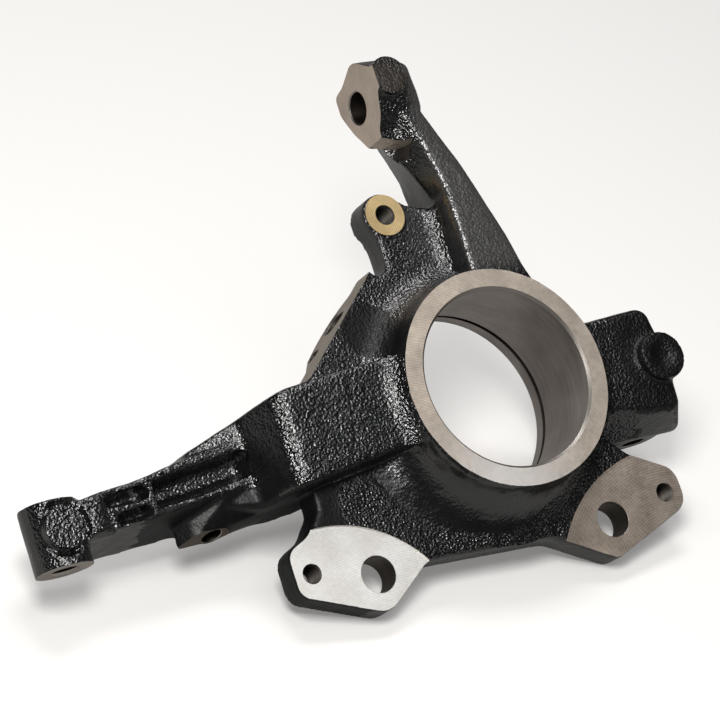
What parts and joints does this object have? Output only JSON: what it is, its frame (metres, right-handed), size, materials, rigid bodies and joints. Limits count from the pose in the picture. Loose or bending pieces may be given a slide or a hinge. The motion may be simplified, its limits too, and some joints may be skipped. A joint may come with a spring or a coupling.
{
  "type": "steering knuckle",
  "caption": "Cast iron steering knuckle with a bored hub ring, caliper pads below, an upper arm, a long ribbed left arm and a short right block.",
  "frame": {"origin": "centre of the bearing seat at its shoulder", "axes": "+Z along the bearing axis to the outboard side, +X along the line of the two caliper holes towards the short block, +Y towards the upper arm"},
  "size_m": [0.2984, 0.2253, 0.0545],
  "materials": {
    "casting": "gloss black coating over a grainy cast skin, with bare milled and bored faces"
  },
  "bodies": {
    "root": {"knuckle_casting": "casting"}
  },
  "joints": []
}
